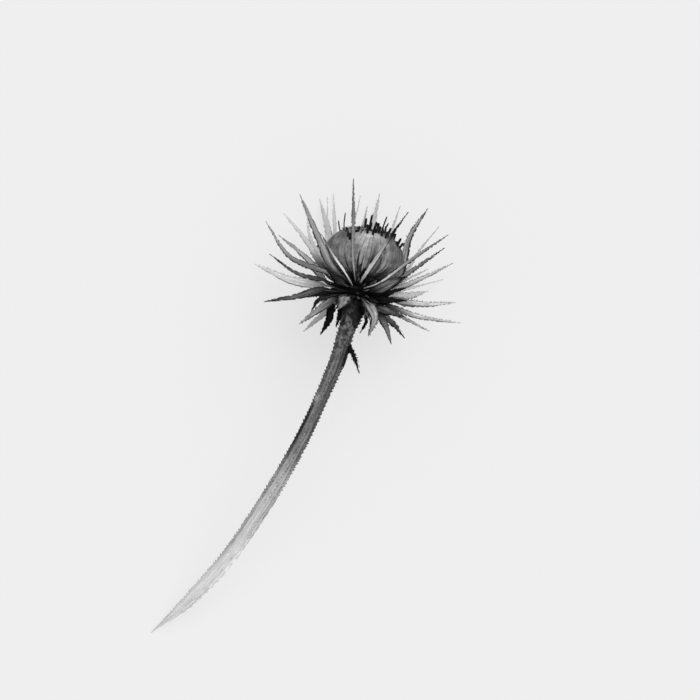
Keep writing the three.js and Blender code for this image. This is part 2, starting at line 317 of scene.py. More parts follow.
class Skin:
    """A piece made of closed skins, each a grid rolled into a tube and drawn in at its ends."""

    def __init__(self, name, rng):
        self.name = name
        self.rng = rng
        self.bm = bmesh.new()
        self.map = self.bm.loops.layers.uv.new("rolled")
        numbers = self.bm.verts.layers.float
        self.layers = {key: numbers.new(key) for key in ("tone", "rim", "chance")}

    def roll(self, place, along, around, tone=0.5, rim=0.1, span=(0.0, 1.0)):
        """place(share of length, share of the way round) gives each point of the grid, and tone its
        level, which may be a number. The map's length runs over span."""
        made = bmesh.ops.create_grid(
            self.bm, x_segments=along, y_segments=around, size=0.5, calc_uvs=True
        )["verts"]
        chance = self.rng.random()
        for vert in made:
            share, turn = vert.co.x + 0.5, vert.co.y + 0.5
            level = tone(share, turn) if callable(tone) else tone
            vert[self.layers["tone"]] = reflectance(level)
            vert[self.layers["rim"]] = reflectance(rim)
            vert[self.layers["chance"]] = chance
            vert.co = place(share, turn)
            for loop in vert.link_loops:
                loop[self.map].uv = (span[0] + (span[1] - span[0]) * share, turn)
        bmesh.ops.remove_doubles(self.bm, verts=made, dist=MERGED / 10)

    def tube(self, points, radii, along, around, flatten=1.0, side=None, **look):
        """A closed tube through points. Radii, in millimetres, are spread evenly along it."""
        side = side or AXIS

        def place(share, turn):
            here = through(points, share)
            ahead = heading(points, share, 0.02)
            across = ahead.cross(side).normalized()
            rise = across.cross(ahead).normalized() * flatten
            radius = through(radii, share) * drawn_in(share, along) * MM
            angle = turn * math.tau
            return here + (across * math.cos(angle) + rise * math.sin(angle)) * radius

        self.roll(place, along, around, **look)

    def finish(self, slot, *nodes):
        bmesh.ops.recalc_face_normals(self.bm, faces=self.bm.faces)
        mesh = bpy.data.meshes.new(self.name)
        self.bm.to_mesh(mesh)
        self.bm.free()
        mesh.shade_smooth()
        mesh.materials.append(FINISHES[slot])
        piece = bpy.data.objects.new(self.name, mesh)
        bpy.context.scene.collection.objects.link(piece)
        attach(piece, "root")
        if nodes:
            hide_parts(*nodes)


def drawn_in(share, ends):
    """0 at both ends of a length and 1 from a short way in, so that a rolled grid closes."""
    return min(1.0, share * ends, (1 - share) * ends)


# ---------------------------------------------------------------- blades


TIP_SIZE = 0.02  # of the last section before the tip
FLATNESS = 0.55  # what is left of the rise from one edge of a blade to the other
FINEST = 0.16  # millimetres: half the width of a blade's tip
SHADED = Vector((-0.5, -1, 0))  # a bract's darker edge, painted shade, is the one on this side, away from the light
SPINES = (0.14, 0.94)  # the shares of a blade's length between which it has spines


class Blade:
    """The line, half width and outer face of a CAD blade, from its foot to its tip."""

    def __init__(self, node):
        bm = merged_copy(node)
        rings = self.rings(bm)
        diagonals = [self.diagonals(ring) for ring in rings]
        widest = max(range(len(rings)), key=lambda i: max(d.length for d in diagonals[i]))
        sides = {widest: max(diagonals[widest], key=lambda d: d.length)}
        for i in [*range(widest - 1, -1, -1), *range(widest + 1, len(rings))]:
            near = sides[i + 1 if i < widest else i - 1].normalized()
            pick = max(diagonals[i], key=lambda d: abs(d.normalized().dot(near)))
            sides[i] = pick if pick.dot(near) > 0 else -pick
        self.centres = [sum((v.co for v in ring), Vector()) / len(ring) for ring in rings]
        self.sides = [sides[i] for i in range(len(rings))]
        self.centres.append(self.farthest(bm).co.copy())
        self.sides.append(self.sides[-1] * TIP_SIZE)
        bm.free()
        self.length = sum((b - a).length for a, b in zip(self.centres, self.centres[1:])) / MM
        self.half_width = max(side.length for side in self.sides) / MM
        self.face_out()

    @staticmethod
    def farthest(bm):
        """The blade's tip."""
        return max(bm.verts, key=lambda vert: (vert.co - RECEPTACLE).length)

    def rings(self, bm):
        """The diamond sections, from the foot to the tip."""
        ring, rings, seen = [self.farthest(bm)], [], set()
        while ring:
            seen.update(ring)
            if len(ring) == 4:
                rings.insert(0, ring)
            near = {edge.other_vert(vert) for vert in ring for edge in vert.link_edges}
            ring = sorted(near - seen, key=lambda vert: vert.index)
        return rings

    @staticmethod
    def diagonals(ring):
        """The section's two half diagonals."""
        centre = sum((v.co for v in ring), Vector()) / 4
        first, *rest = ring
        facing = min(rest, key=lambda v: ((first.co + v.co) / 2 - centre).length)
        second = next(v for v in rest if v is not facing)
        return [first.co - centre, second.co - centre]

    def along(self, share):
        return heading(self.centres, share, 0.04).normalized()

    def face_out(self):
        """Turns the sides so that side x along points to the outer face, away from the flower."""
        agreement = 0
        for i, centre in enumerate(self.centres):
            along = self.along(i / (len(self.centres) - 1))
            from_axis = centre - RECEPTACLE
            outward = (from_axis - AXIS * from_axis.dot(AXIS)).normalized()
            outer = outward * along.dot(AXIS) - AXIS * along.dot(outward)
            agreement += self.sides[i].normalized().cross(along).dot(outer)
        if agreement < 0:
            self.sides = [-side for side in self.sides]

    def flat_side(self, share):
        """The half width, rolled nearer to level than on the CAD blade."""
        side = through(self.sides, share)
        level = Vector((side.x, side.y, side.z * FLATNESS))
        return level * (side.length / max(level.length, MERGED))

    def outer(self, share):
        return self.flat_side(share).cross(self.along(share)).normalized()


def lay_blade(
    skin, blade, rng, along, around,
    fold=0.4, ragged=0.27, thickness=0.34, blunt=0.0, waist=1.0, **look,
):
    """Lays a channelled blade, with a keel and ragged, wavy edges, on the line of a CAD blade.

    Fold is the channel's depth, as a share of the half width. Ragged is how far a point of an edge
    strays and thickness is measured at the foot, both in millimetres. Blunt is how much fuller the
    blade is towards its tip, and waist its width low down, as a share of the CAD blade's."""
    rags = [[rng.uniform(-ragged, ragged) for _ in range(2)] for _ in range(along + 1)]
    phase = rng.uniform(0, 100)
    foot = blade.centres[0] + (RECEPTACLE - blade.centres[0]).normalized() * 0.5 * MM
    # The map is turned so that the darker rim, painted shade, falls on the edge towards SHADED
    hand = 1 if through(blade.sides, 0.4).dot(SHADED) < 0 else -1

    def place(share, turn):
        x = -math.cos(turn * math.tau) * hand
        face = math.sin(turn * math.tau)
        side = blade.flat_side(share) * (1 + blunt * math.sin(math.pi * share**2))
        side *= steps([(0, waist), (0.35, waist), (0.6, 1)], share)
        side *= max(1, FINEST * MM / max(side.length, MERGED))
        centre = through(blade.centres, share).lerp(foot, max(0, 1 - share * 12))
        half_width = side.length
        rag = rags[round(share * along)][x > 0] * abs(x) ** 3 * MM
        rag = max(-half_width * 0.38, min(half_width * 0.38, rag)) / max(half_width, MERGED)
        wave = noise.noise(Vector((share * 7, (x > 0) * 9.0, phase)))
        rise = half_width * (fold * abs(x) ** 1.6 + 0.4 * wave * x * x)
        rounded = 0.5 + 0.5 * math.sqrt(max(0, 1 - x * x))
        thick = thickness * MM * (1 - 0.75 * share) * rounded
        ridge = 0.25 * MM * bump(x, 0, 0.22) * (1 - share) if face > 0 else 0
        close = drawn_in(share, along)
        lift = face * thick / 2 + ridge - rise
        return centre + (side * x * (1 + rag) + blade.outer(share) * lift) * close

    skin.roll(place, along, around, **look)


def margin_spines(skin, blade, rng, spacing, reach, tone, rim):
    """Fine spines along both edges, leaning to the tip. Spacing and reach are in millimetres."""
    count = int(blade.length / spacing)
    for i in range(count * 2):
        share = blend(*SPINES, (i // 2 + rng.uniform(0.1, 0.9)) / count)
        side = blade.flat_side(share) * (1 if i % 2 else -1)
        outer = blade.outer(share)
        ahead = blade.along(share)
        # The root is a little in from the edge, on the face that is turned to the flower
        root = through(blade.centres, share) + side * 0.86 - outer * side.length * 0.35
        length = reach * MM * rng.uniform(0.4, 1.2) * (1 - 0.4 * share)
        lean = (side.normalized() * 0.8 + ahead * 0.8 - outer * 0.1 * rng.random()).normalized()
        points = [root, root + lean * length * 0.5, root + (lean + ahead * 0.2) * length]
        level = rim if rng.random() < 0.5 else tone(share, 0) - 0.06
        skin.tube(points, [0.2, 0.12, 0.015], 3, 4, side=outer, tone=level, rim=rim)


SLOTS = {part["node"]: part["material_slot"] for part in frame["record"]["subparts"]}

# Levels of grey at a blade's foot, a fifth of the way up, half way up and at the tip, and of its
# rim, the grey of its dark edges and rib, where the edge turned from the light is painted shade: for
# blades of the far side by finish, and for the others by name
PLAIN_TONES = {
    "pale_bract": (0.3, 0.66, 0.74, 0.74, 0.58),
    "grey_bract": (0.1, 0.4, 0.5, 0.45, 0.2),
    "dark_bract": (0.05, 0.12, 0.2, 0.15, 0.06),
}
TONES = {
    "crown_bract_01": (0.5, 0.7, 0.8, 0.82, 0.7),
    "crown_bract_02": (0.5, 0.7, 0.78, 0.8, 0.68),
    "crown_bract_03": (0.5, 0.7, 0.76, 0.8, 0.66),
    "crown_bract_04": (0.5, 0.62, 0.66, 0.7, 0.56),
    "crown_bract_05": (0.5, 0.7, 0.76, 0.78, 0.62),
    "crown_bract_06": (0.5, 0.68, 0.75, 0.78, 0.62),
    "crown_bract_07": (0.3, 0.55, 0.68, 0.55, 0.2),
    "inner_bract_01": (0.4, 0.6, 0.66, 0.64, 0.24),
    "inner_bract_02": (0.45, 0.76, 0.56, 0.42, 0.24),
    "inner_bract_03": (0.6, 0.84, 0.74, 0.62, 0.12),
    "inner_bract_04": (0.4, 0.68, 0.74, 0.72, 0.6),
    "inner_bract_05": (0.3, 0.6, 0.78, 0.8, 0.66),
    "inner_bract_06": (0.25, 0.6, 0.8, 0.82, 0.6),
    "middle_bract_01": (0.4, 0.55, 0.5, 0.72, 0.14),
    "middle_bract_02": (0.74, 1.0, 0.95, 0.3, 0.1),
    "middle_bract_03": (0.8, 1.0, 0.62, 0.42, 0.14),
    "middle_bract_04": (0.2, 0.5, 0.58, 0.36, 0.2),
    "middle_bract_05": (0.4, 0.66, 0.8, 0.72, 0.36),
    "middle_bract_06": (0.3, 0.66, 0.76, 0.76, 0.64),
    "middle_bract_07": (0.06, 0.14, 0.2, 0.2, 0.08),
    "middle_bract_08": (0.08, 0.14, 0.84, 0.86, 0.5),
    "spreading_bract_01": (0.05, 0.24, 0.36, 0.25, 0.08),
    "spreading_bract_02": (0.4, 0.62, 0.68, 0.6, 0.3),
    "spreading_bract_03": (0.4, 0.76, 0.92, 0.84, 0.5),
    "spreading_bract_04": (0.05, 0.16, 0.52, 0.4, 0.05),
    "spreading_bract_05": (0.04, 0.1, 0.14, 0.1, 0.05),
    "spreading_bract_06": (0.05, 0.26, 0.86, 0.8, 0.36),
    "spreading_bract_07": (0.1, 0.6, 0.84, 0.86, 0.6),
    "spreading_bract_08": (0.3, 0.7, 0.77, 0.78, 0.66),
    "spreading_bract_10": (0.12, 0.24, 0.2, 0.14, 0.06),
    "drooping_bract_01": (0.05, 0.26, 0.44, 0.2, 0.08),
    "drooping_bract_02": (0.04, 0.08, 0.14, 0.08, 0.04),
    "drooping_bract_03": (0.05, 0.18, 0.84, 0.8, 0.28),
    "drooping_bract_04": (0.06, 0.24, 0.66, 0.74, 0.4),
    "reflexed_bract_01": (0.05, 0.12, 0.18, 0.1, 0.05),
    "reflexed_bract_02": (0.2, 0.48, 0.54, 0.62, 0.24),
    "reflexed_bract_03": (0.3, 0.6, 0.74, 0.72, 0.5),
    "reflexed_bract_04": (0.05, 0.1, 0.14, 0.09, 0.05),
    "reflexed_bract_05": (0.05, 0.1, 0.14, 0.1, 0.05),
    "reflexed_bract_06": (0.2, 0.54, 0.58, 0.5, 0.14),
    "reflexed_bract_07": (0.2, 0.52, 0.7, 0.42, 0.14),
    "reflexed_bract_08": (0.05, 0.22, 0.42, 0.3, 0.05),
    "reflexed_bract_09": (0.05, 0.18, 0.46, 0.5, 0.08),
    "reflexed_bract_10": (0.05, 0.16, 0.38, 0.3, 0.05),
    "reflexed_bract_11": (0.05, 0.12, 0.16, 0.1, 0.05),
}
DARKEST = 0.09  # the least level of a blade's face

# How much fuller some bracts are towards their tips
BLUNT = {
    "crown_bract_02": 0.4, "crown_bract_04": 0.7, "crown_bract_05": 0.6, "crown_bract_06": 0.6,
    "inner_bract_02": 0.2, "inner_bract_05": 0.5,
    "spreading_bract_04": 0.6, "spreading_bract_07": 0.8,
    "reflexed_bract_01": 0.6, "reflexed_bract_03": 0.4, "reflexed_bract_04": 0.5,
    "reflexed_bract_06": 0.5, "reflexed_bract_08": 0.3, "reflexed_bract_09": 0.3,
}

# The share of its length at which a bract's withered tip starts
DARK_TIPS = {
    "crown_bract_07": 0.86, "inner_bract_03": 0.58, "middle_bract_04": 0.84,
    "spreading_bract_04": 0.76, "reflexed_bract_09": 0.86, "reflexed_bract_10": 0.8,
}

# The width low down of the bracts that are narrower or wider there than their CAD blades
WAISTS = {
    "inner_bract_02": 0.45, "inner_bract_03": 0.95, "middle_bract_02": 0.55,
    "middle_bract_03": 0.62, "reflexed_bract_01": 1.3,
}
BROAD = 1.6  # millimetres: a bract with a half width above this is nearly flat
SPINY = 0.7  # millimetres: a bract with a half width above this has spines


def make_bracts():
    """A channelled, spiny blade in place of each CAD blade."""
    rng = random.Random(11)
    for node in sorted(name for name in frame["nodes"] if "_bract_" in name):
        blade = Blade(node)
        skin = Skin(node + "_blade", rng)
        slot = SLOTS[node]
        *levels, rim = TONES.get(node) or PLAIN_TONES[slot]
        table = list(zip((0, 0.2, 0.5, 1), levels))
        dark_from = DARK_TIPS.get(node, 1)
        withering = [(dark_from, 1), (dark_from + 0.12, 0.2)]

        def tone(share, turn):
            return max(DARKEST, steps(table, share) * steps(withering, share))

        shape = {
            "fold": 0.12 if slot == "streaked_bract" or blade.half_width > BROAD else 0.4,
            "blunt": BLUNT.get(node, 0),
            "waist": WAISTS.get(node, 1),
        }
        along = max(24, round(blade.length / 0.5))
        lay_blade(skin, blade, rng, along, 14, tone=tone, rim=rim, **shape)
        if blade.half_width > SPINY:
            reach = 0.3 + 0.3 * blade.half_width
            margin_spines(skin, blade, rng, 1.3, reach, tone, rim)
        skin.finish(slot, node)


# Rows of basal scales: their height on the receptacle and their rise for each millimetre out
BASAL_ROWS = [
    (4.3, 0.75), (3, 0.5), (1.6, 0.3), (0.2, 0.05), (-1.2, -0.25), (-2.4, -0.55), (-3.4, -0.9),
]
BASAL_COUNT = 23  # in each row
BASAL_FOOT = 4.4  # millimetres from the flower's axis to the foot of each


def make_basal_scales():
    """Short dark scales that crowd round the receptacle between the feet of the bracts, and a ring
    under them that closes the gap to the bulb."""
    rng = random.Random(5)
    skin = Skin("basal_scales", rng)
    for row, (height, slope) in enumerate(BASAL_ROWS):
        for i in range(BASAL_COUNT):
            around = (i + 0.5 * (row % 2) + rng.uniform(-0.25, 0.25)) * 360 / BASAL_COUNT
            reach = rng.uniform(2.2, 4.5)
            if row > 1:  # the lower rows reach further to the plant's left and right
                reach += 4.5 * math.cos(math.radians(around)) ** 2
            heights = [height, height + slope * reach * 0.4, height + slope * reach * 0.9]
            reaches = [BASAL_FOOT, BASAL_FOOT + reach * 0.5, BASAL_FOOT + reach]
            points = [on_head(out, around, up) for out, up in zip(reaches, heights)]
            level = 0.1 + 0.55 * rng.random() ** 2
            skin.tube(points, [0.7, 0.85, 0.05], 8, 8, flatten=0.35, tone=level, rim=0.1)
    ring = [on_head(5, around, -0.8) for around in range(0, 361, 15)]
    skin.tube(ring, [1.2, 1.2], 24, 8, tone=0.14, rim=0.05)
    skin.finish("dark_bract")


# ---------------------------------------------------------------- bulb and florets


def bulb_profile():
    """(radius, height) in millimetres from the bulb's flat foot to the pole of its crown."""
    bulb = merged_copy("bulb")
    found = {}
    for vert in bulb.verts:
        from_axis = (vert.co - RECEPTACLE) / MM
        height = from_axis.dot(AXIS)
        radius = (from_axis - AXIS * height).length
        found.setdefault(round(height, 1), []).append(radius)
    bulb.free()
    return [Vector((max(radii), height)) for height, radii in sorted(found.items())]


BULB_GREY = 0.53
BULB_SHADES = [(5, 0.8), (6, 1), (8, 1.12), (11, 1.05), (14, 1)]  # by height


def bulb_level(around, height):
    """The bulb's grey: a painted highlight high on its front, painted shade down its flanks, and
    darker at its foot.
    """
    around = around % 360
    # Painted highlight where the light falls high on the front, and painted shade down the flanks
    # turned from it
    front_highlight = bump(around, 92, 26) * bump(height, 19, 5)
    flank_shade = bump(around, 28, 24) + 1.6 * bump(around, 148, 28) + bump(around, 380, 28)
    wedge = bump(around, 103, 7) * bump(height, 9, 4)
    level = BULB_GREY + 0.24 * front_highlight - 0.09 * flank_shade - 0.22 * wedge
    return level * steps(BULB_SHADES, height)


def over_bulb(radius, around, height):
    """A point over the bulb, which is fuller low on its left."""
    off_left = (around + 180) % 360 - 180
    fuller = 0.8 * bump(off_left, 0, 45) * bump(height, 10.5, 4)
    return on_head(max(0, radius + fuller), around, height)


def on_bulb(profile, share, around, raised=0.0):
    """A point over the bulb by the share of its outline, from its foot to its pole."""
    radius, height = through(profile, share)
    return over_bulb(radius + raised, around, height)


# Rows of closed scales: how many, the share of the bulb's outline they reach, how much that varies,
# their half width and their height above the bulb
SCALE_ROWS = [
    (110, 0.93, 0.03, 0.75, -0.06), (60, 0.82, 0.09, 0.8, 0), (54, 0.66, 0.12, 0.7, 0.06),
    (44, 0.47, 0.12, 0.7, 0.12), (34, 0.28, 0.07, 0.7, 0.18),
]

# Stained scales on the bulb's front: each one's course, as degrees round the flower and height, its
# half width and its grey
STAINED_SCALES = [
    (((76, 5.2), (87, 7.4), (92, 13.6)), 0.6, 0.26),
    (((93, 4.9), (96, 6.3), (97, 9)), 0.62, 0.1),
    (((48, 5.6), (58, 8.8)), 0.5, 0.14),
    (((62, 6.8), (63, 12.9)), 0.5, 0.28),
    (((124, 5.5), (131, 7.7), (133, 11.6)), 0.6, 0.24),
    (((117, 5.3), (116, 8.1), (113, 12.1)), 0.55, 0.3),
    (((44, 7.6), (46, 12.2)), 0.6, 0.34),
    (((142, 6.5), (145, 9.1), (152, 11.6)), 0.5, 0.22),
    (((66, 6.0), (69, 9.6)), 0.32, 0.22),
]
DARK_MARKS = 56  # at the bulb's foot


def add_scale(skin, rng, profile, around, top, half_width, layer):
    """A long pointed scale pressed flat against the bulb."""
    sway = rng.uniform(-9, 9)
    bias = rng.gauss(0, 0.035)
    fade = rng.uniform(-0.06, 0.02)

    def spot(share, x=0.0):
        wide = half_width * math.sin(math.pi * (0.2 + 0.8 * share)) ** 0.8 * drawn_in(share, 18)
        radius = through(profile, 0.02 + (top - 0.02) * share).x
        return around + sway * share + math.degrees(x * wide / max(3, radius))

    def place(share, turn):
        x = -math.cos(turn * math.tau)
        face = -math.sin(turn * math.tau)
        out = layer + 0.08 * face * drawn_in(share, 18) - 0.03 * x * x + 0.05 * share
        return on_bulb(profile, 0.02 + (top - 0.02) * share, spot(share, x), out)

    def tone(share, turn):
        height = through(profile, 0.02 + (top - 0.02) * share).y
        return bulb_level(spot(share), height) + bias + fade * share

    skin.roll(place, 20, 8, tone=tone)


def make_bulb():
    """A closed core just under the CAD bulb's outline, with rows of closed scales over it."""
    rng = random.Random(3)
    profile = bulb_profile()
    core = Skin("bulb_core", rng)

    def place_core(share, turn):
        radius, height = through(profile, share)
        radius = max(0, radius - 0.4) * drawn_in(share, 30)
        return on_head(radius, turn * 360, height - (0.35 if share > 0.5 else -0.3))

    core.roll(place_core, 36, 72, tone=0.34)
    core.finish("bulb_scales")

    skin = Skin("bulb_scale_layers", rng)
    for count, end, spread, usual_width, layer in SCALE_ROWS:
        for i in range(count):
            around = (i + rng.uniform(-0.35, 0.35)) * 360 / count
            top = end + rng.uniform(-spread, spread)
            half_width = usual_width * rng.uniform(0.8, 1.2)
            add_scale(skin, rng, profile, around, top, half_width, layer)
    skin.finish("bulb_scales", "bulb")

    add_marks(rng, profile)


def add_marks(rng, profile):
    """The dark scales at the bulb's foot and the stained ones on its front."""
    marks = Skin("bulb_dark_scales", rng)
    for i in range(DARK_MARKS):
        around = i * GOLDEN_TURN
        top = 0.12 + 0.28 * rng.random() ** 2
        lean = rng.uniform(-5, 5)
        shares = [0.03 + (top - 0.03) * t for t in (0, 0.25, 0.5, 0.75, 1)]
        points = [on_bulb(profile, share, around + lean * share, 0.34) for share in shares]
        width = rng.uniform(0.16, 0.45)
        radii = [width * 0.8, width, width * 0.9, width * 0.6, width * 0.1]
        fade = rng.uniform(0.13, 0.442)

        def tone(share, turn):
            return 0.1 + fade * share

        marks.tube(points, radii, 12, 6, flatten=0.3, tone=tone, rim=0.06)
    outline = [(point.y, point.x) for point in profile]
    for places, half_width, level in STAINED_SCALES:
        points = [
            over_bulb(steps(outline, height) + 0.5, around, height) for around, height in places
        ]
        radii = [half_width * size for size in (0.6, 1, 0.9, 0.6, 0.1)]
        marks.tube(points, radii, 14, 6, flatten=0.3, tone=level, rim=level)
    marks.finish("dark_bract")


def on_crown(tilt, around, raised):
    """A point over the bulb's crown: degrees out from its pole, degrees round it and height."""
    radius = CROWN_RADIUS + raised
    lean = math.radians(tilt)
    return on_head(radius * math.sin(lean), around, CROWN_CENTRE + radius * math.cos(lean))


FLORET_WIDEST = 0.46  # millimetres: the most that half a floret's width may be


def add_floret(skin, rng, foot, tip, half_width):
    """A closed tube with a rounded end."""
    bend = Vector([rng.uniform(-1, 1) for _ in range(3)]) * 0.06 * (tip - foot).length
    points = [foot, foot.lerp(tip, 0.35) + bend, foot.lerp(tip, 0.7) + bend * 0.6, tip]
    radii = [min(half_width, FLORET_WIDEST) * size for size in (0.7, 0.9, 1, 1.05, 1, 0.75)]
    skin.tube(points, radii, 9, 8, tone=rng.uniform(0.1, 0.22))


# Foot, tip and half width of each floret of the front: places are distance from the flower's axis,
# degrees round it and distance along it
FLORETS = [
    ((11.8, 25, 19.0), (14.1, 29, 22.6), 0.23), ((11.7, 37, 19.2), (14.4, 43, 25.3), 0.23),
    ((12.2, 45, 18.6), (12.8, 48, 20.3), 0.40), ((14.1, 62, 15.5), (15.2, 62, 17.8), 0.58),
    ((13.6, 56, 16.4), (14.7, 57, 18.7), 0.40), ((14.1, 65, 15.3), (15.3, 65, 17.6), 0.43),
    ((11.7, 67, 19.2), (12.5, 70, 21.3), 0.50), ((12.0, 65, 18.8), (12.5, 65, 19.8), 0.36),
    ((5.7, 64, 22.5), (7.2, 67, 25.9), 0.50), ((11.5, 84, 19.4), (13.0, 82, 22.4), 0.54),
    ((5.2, 79, 22.6), (7.4, 82, 27.5), 0.40), ((9.4, 88, 20.9), (10.8, 87, 24.0), 0.43),
    ((11.9, 94, 19.0), (14.1, 95, 23.8), 0.58), ((10.3, 99, 20.5), (11.6, 101, 23.0), 0.65),
    ((5.4, 109, 22.6), (6.7, 107, 25.4), 0.47), ((9.0, 107, 21.1), (10.1, 106, 23.6), 0.58),
    ((11.2, 111, 19.7), (12.6, 107, 23.0), 0.58), ((6.2, 126, 22.4), (8.8, 119, 28.2), 0.27),
    ((6.8, 132, 22.2), (8.7, 128, 26.1), 0.27), ((7.0, 134, 22.1), (7.8, 127, 24.9), 0.40),
    ((11.7, 120, 19.2), (12.8, 117, 22.0), 0.54), ((8.0, 142, 21.8), (9.1, 137, 24.7), 0.47),
    ((9.2, 148, 21.3), (10.4, 141, 25.0), 0.34), ((9.8, 151, 21.1), (10.5, 147, 23.2), 0.36),
    ((9.9, 138, 20.7), (10.4, 134, 22.7), 0.40), ((12.3, 146, 18.5), (13.8, 143, 21.4), 0.47),
    ((12.7, 152, 18.1), (14.1, 150, 20.2), 0.43), ((11.6, 149, 19.3), (12.1, 148, 20.3), 0.40),
]


def far_side_height(tilt, around):
    """How far a floret of the crown's far side can stand up without topping its near side."""
    turned_away = -(on_crown(tilt, around, 1) - on_crown(tilt, around, 0)).z / MM
    if turned_away < 0.1:
        return 0
    return CROWN_RADIUS * (1 / math.sqrt(1 - turned_away**2) - 1) - 0.2


FAR_FLORETS = 70  # places for them, not all of which are filled
FAR_FLORET_HEIGHTS = (0.5, 2.6)  # millimetres
CHAFF_COUNT = 240


def make_florets():
    """The florets of the front and the far side, and the disc of chaff that they stand in."""
    rng = random.Random(8)
    skin = Skin("floret_tubes", rng)
    for foot, tip, half_width in FLORETS:
        start, end = on_head(*foot), on_head(*tip)
        add_floret(skin, rng, start.lerp(end, -0.1), end, half_width)
    lowest, tallest = FAR_FLORET_HEIGHTS
    for i in range(FAR_FLORETS):
        tilt = DISC_RIM * math.sqrt((i + 0.5) / FAR_FLORETS)
        around = 180 + (i * GOLDEN_TURN) % 180
        tall = min(tallest, far_side_height(tilt, around))
        if tall > lowest:
            foot, tip = on_crown(tilt, around, -0.4), on_crown(tilt + 2, around, tall)
            add_floret(skin, rng, foot, tip, rng.uniform(0.36, 0.52))
    skin.finish("floret_tuft", "florets")

    disc = Skin("chaff_disc", rng)

    def place(share, turn):
        tilt = DISC_RIM * (1 - abs(2 * share - 1)) ** 0.8
        return on_crown(tilt, turn * 360, -0.25 if share < 0.5 else 0.3)

    disc.roll(place, 16, 48, tone=0.46)
    for _ in range(CHAFF_COUNT):
        tilt = DISC_RIM * math.sqrt(rng.random())
        around = rng.uniform(0, 360)
        points = [on_crown(tilt + 3 * t, around, 0.1 + 0.9 * t) for t in (0, 0.5, 1)]
        disc.tube(points, [0.24, 0.22, 0.03], 4, 4, flatten=0.5, tone=rng.uniform(0.36, 0.6))
    disc.finish("bulb_scales")


# ---------------------------------------------------------------- stem


def stem_line():
    """Centres and radii of the stem's sections, from its thin end to the top of the receptacle."""
    bm = merged_copy("stem")
    end = max(bm.verts, key=lambda vert: (vert.co - RECEPTACLE).length).co.copy()
    ring = [vert for vert in bm.verts if (vert.co - end).length < 1 * MM]
    centres, radii, seen = [], [], set()
    while ring:
        seen.update(ring)
        centre = sum((vert.co for vert in ring), Vector()) / len(ring)
        centres.append(centre)
        radii.append(max((vert.co - centre).length for vert in ring))
        near = {edge.other_vert(vert) for vert in ring for edge in vert.link_edges}
        ring = sorted(near - seen, key=lambda vert: vert.index)
    bm.free()
    if radii[-1] < 1 * MM:
        centres.pop()
        radii.pop()
    return centres, radii


STEM_CENTRES, STEM_RADII = stem_line()

# Level of grey by share of the stem's length, from the torn end
STEM_LEVELS = [
    (0.0, 0.86), (0.13, 0.84), (0.27, 0.82), (0.39, 0.8), (0.46, 0.77), (0.52, 0.7),
    (0.57, 0.56), (0.62, 0.5), (0.66, 0.46), (0.7, 0.48), (0.76, 0.46), (0.82, 0.42),
    (0.854, 0.43), (0.878, 0.46), (0.902, 0.36), (0.927, 0.22), (0.95, 0.15), (1.0, 0.1),
]

# Streaks along the stem: how much each lightens it, the place of its middle across the stem, in
# radii to the right, how wide it is, and its strength by share of the stem's length
STEM_STREAKS = [
    (-0.17, 0.42, 0.13, [(0.66, 0), (0.72, 1), (0.84, 1), (0.9, 0)]),
    (-0.1, 1, 0.35, [(0.5, 0), (0.6, 1)]),
    (-0.26, -1, 0.4, [(0.52, 0), (0.6, 1), (0.68, 1), (0.73, 0.2)]),
    (-0.14, -1, 0.5, [(0.2, 0), (0.3, 1), (0.5, 1), (0.56, 0)]),
    (0.04, -0.2, 0.4, [(0, 1), (1, 1)]),
    (0.06, 0.8, 0.5, [(0.36, 1), (0.46, 0)]),
    (-0.14, 0.7, 0.5, [(0.88, 0), (0.91, 1)]),
]


def stem_level(share, turn):
    """The stem's grey. Turn is in degrees from the stem's right, over its top."""
    across = math.cos(math.radians(turn))
    level = steps(STEM_LEVELS, share)
    for change, middle, width, strength in STEM_STREAKS:
        level += change * bump(across, middle, width) * steps(strength, share)
    pale_chip = bump(across, -0.66, 0.2) * bump(share, 0.717, 0.007)
    return level + 0.5 * pale_chip


# Just under the head the stem swings to its right and flares: by share of its length, how far it
# swings, in radii, and how much thicker it gets
NECK = [
    (0.87, Vector((0, 1))), (0.888, Vector((0.03, 1))), (0.906, Vector((0.16, 1.16))),
    (0.925, Vector((0.16, 1.26))), (0.95, Vector((0.1, 1))), (0.98, Vector((0, 1))),
]


def on_stem(share, turn, raised=0.0, scale=1.0, shift=0.0):
    """A point over the stem: a share of its length, degrees round it and millimetres above it. Shift
    moves it to the stem's left, in radii."""
    centre = through(STEM_CENTRES, share)
    ahead = heading(STEM_CENTRES, share, 0.01)
    side = Vector((ahead.y, -ahead.x, 0)).normalized()
    rise = side.cross(ahead).normalized()
    angle = math.radians(turn)
    swing, flare = steps(NECK, share)
    radius = through(STEM_RADII, share) * flare
    surface = (side * math.cos(angle) + rise * math.sin(angle)) * (radius * scale + raised * MM)
    return centre + surface + side * (swing - shift) * radius


# The stem's solid part narrows towards its torn end and keeps to its left: by share of its length,
# its size and how far it moves over, both in radii
CORE = [
    (0, Vector((0.03, 0.3))), (0.05, Vector((0.3, 0.36))), (0.1, Vector((0.58, 0.24))),
    (0.2, Vector((0.74, 0.16))), (0.4, Vector((0.82, 0.1))), (0.5, Vector((0.92, 0))),
]

# Start, end, degrees round the stem, depth as a share of its radius, and width of each torn fibre
TORN_FIBRES = [
    (0.0, 0.16, 170, 0.7, 0.34), (0.01, 0.2, 120, 0.5, 0.38), (0.03, 0.24, 40, 0.5, 0.36),
    (0.02, 0.18, 90, 0.2, 0.4), (0.05, 0.2, 20, 0.75, 0.3), (0.06, 0.22, 150, 0.85, 0.3),
    (0.0, 0.1, 160, 0.6, 0.26), (0.04, 0.16, 178, 0.7, 0.3), (0.08, 0.26, 30, 0.9, 0.22),
]
FRINGE = [(0.1, 0.2, 0.55), (0.12, 0.5, 0.8), (0.1, 0.48, 0.95)]  # start, end and place in radii


